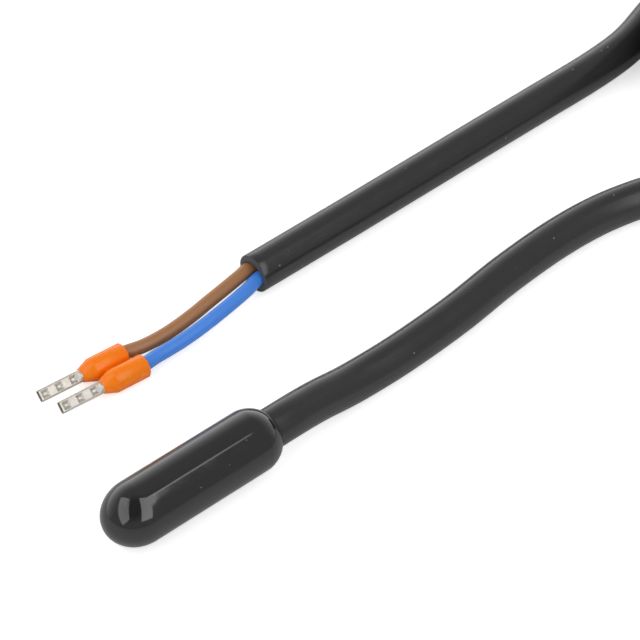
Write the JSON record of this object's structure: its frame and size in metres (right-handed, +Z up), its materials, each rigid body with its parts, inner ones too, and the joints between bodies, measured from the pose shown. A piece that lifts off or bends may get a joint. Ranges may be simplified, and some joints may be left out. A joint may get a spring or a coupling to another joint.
{
  "type": "ntc temperature sensor",
  "caption": "Temperature probe with a moulded round-tipped capsule on a round two-core cable, its free cores ending in crimped bootlace ferrules.",
  "frame": {"origin": "on the surface that the probe lies on, under the middle of the capsule's length", "axes": "+X along the capsule from its round tip to the face where the cable leaves, +Z up, +Y to the side of the opened cable end"},
  "size_m": [0.2101, 0.0478, 0.0211],
  "materials": {
    "capsule_resin": "glossy moulded black",
    "cable_jacket": "satin extruded black",
    "core_brown": "satin extruded brown",
    "core_blue": "satin extruded blue",
    "collar": "satin moulded orange",
    "barrel": "dull tin-plated copper, crimped",
    "copper": "bare copper strands",
    "tie": "matte black",
    "ceramic": "dark sintered ceramic",
    "bead_resin": "dark resin",
    "lead_wire": "tinned wire",
    "splice_brass": "plain brass",
    "shrunk_sleeve": "matte shrunk tube"
  },
  "bodies": {
    "root": {"capsule": "capsule_resin", "thermistor_chip": "ceramic", "thermistor_bead": "bead_resin", "thermistor_lead_brown": "lead_wire", "thermistor_lead_blue": "lead_wire", "splice_crimp_brown": "splice_brass", "splice_crimp_blue": "splice_brass", "splice_sleeve_brown": "shrunk_sleeve", "splice_sleeve_blue": "shrunk_sleeve", "inner_core_brown": "core_brown", "inner_core_blue": "core_blue", "inner_strands_brown": "copper", "inner_strands_blue": "copper", "jacket_probe_end": "cable_jacket", "cable_probe_lead": "cable_jacket", "cable_hank": "cable_jacket", "hank_tie": "tie", "cable_free_lead": "cable_jacket", "jacket_free_end": "cable_jacket", "core_brown": "core_brown", "core_blue": "core_blue", "strands_brown": "copper", "strands_blue": "copper", "ferrule_collar_brown": "collar", "ferrule_collar_blue": "collar", "ferrule_barrel_brown": "barrel", "ferrule_barrel_blue": "barrel"}
  },
  "joints": []
}
